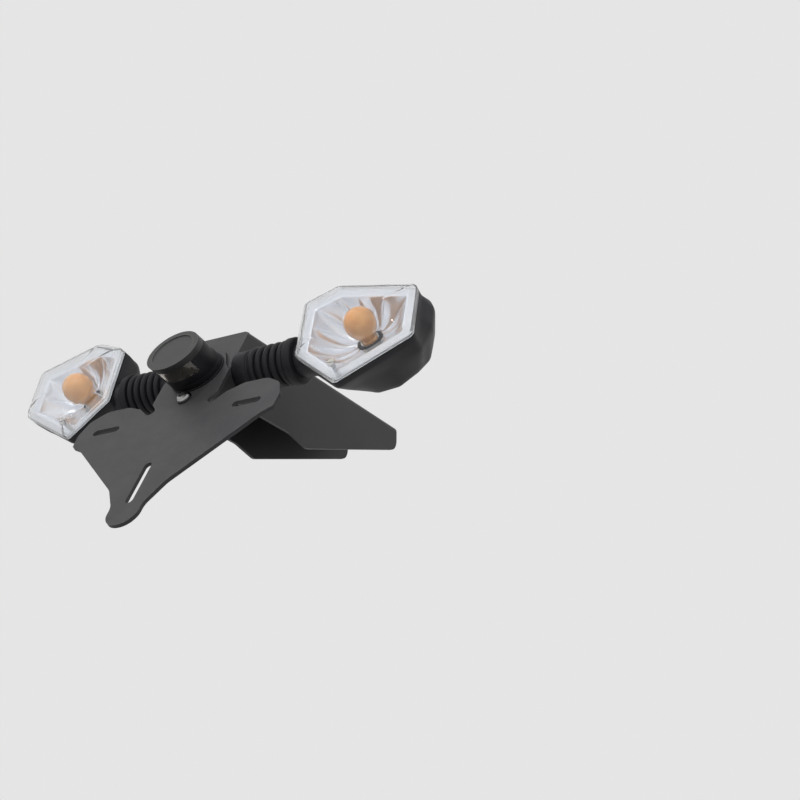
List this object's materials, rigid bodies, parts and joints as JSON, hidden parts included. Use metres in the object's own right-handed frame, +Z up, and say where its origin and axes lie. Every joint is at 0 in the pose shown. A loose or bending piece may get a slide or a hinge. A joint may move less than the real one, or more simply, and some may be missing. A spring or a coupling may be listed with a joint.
{
  "type": "motorbike tail tidy",
  "caption": "Folded channel bracket with a tilted number plate bracket, a plate lamp and two clear-lens indicators on ribbed stems.",
  "frame": {"origin": "centre of the four fixing holes, on the top face of the main bracket", "axes": "+X to the bike's right, +Y towards the bike's front, +Z up out of the top face"},
  "size_m": [0.3652, 0.3505, 0.2019],
  "materials": {
    "black_sheet": "satin powder coat",
    "black_plastic": "fine grain",
    "black_rubber": "matt",
    "zinc": "zinc plated",
    "clear_plastic": "clear moulded",
    "reflector_silver": "vacuum metallised",
    "amber_glass": "amber lacquered glass",
    "bulb_glass": "clear"
  },
  "bodies": {
    "root": {"main_bracket": "black_sheet", "plate_bracket": "black_sheet", "cable_grommet": "black_rubber", "plate_bolt": "zinc", "plate_washers": "zinc", "plate_nut": "zinc", "lamp_pad": "black_rubber", "lamp_base": "black_plastic", "lamp_body": "black_plastic", "lamp_cap": "black_plastic", "lamp_window": "clear_plastic", "lamp_bulb": "bulb_glass", "lamp_bulb_cap": "zinc", "lamp_studs": "zinc", "lamp_washers": "zinc", "lamp_nuts": "zinc", "right_collar": "black_plastic", "right_stem": "black_rubber", "right_stud": "zinc", "right_stud_washer": "zinc", "right_stud_nut": "zinc", "right_housing": "black_plastic", "right_seal": "black_rubber", "right_lens": "clear_plastic", "right_lens_screw": "zinc", "right_reflector": "reflector_silver", "right_bulb": "amber_glass", "right_bulb_cap": "zinc", "right_bulb_holder": "black_plastic", "left_collar": "black_plastic", "left_stem": "black_rubber", "left_stud": "zinc", "left_stud_washer": "zinc", "left_stud_nut": "zinc", "left_housing": "black_plastic", "left_seal": "black_rubber", "left_lens": "clear_plastic", "left_lens_screw": "zinc", "left_reflector": "reflector_silver", "left_bulb": "amber_glass", "left_bulb_cap": "zinc", "left_bulb_holder": "black_plastic"}
  },
  "joints": []
}
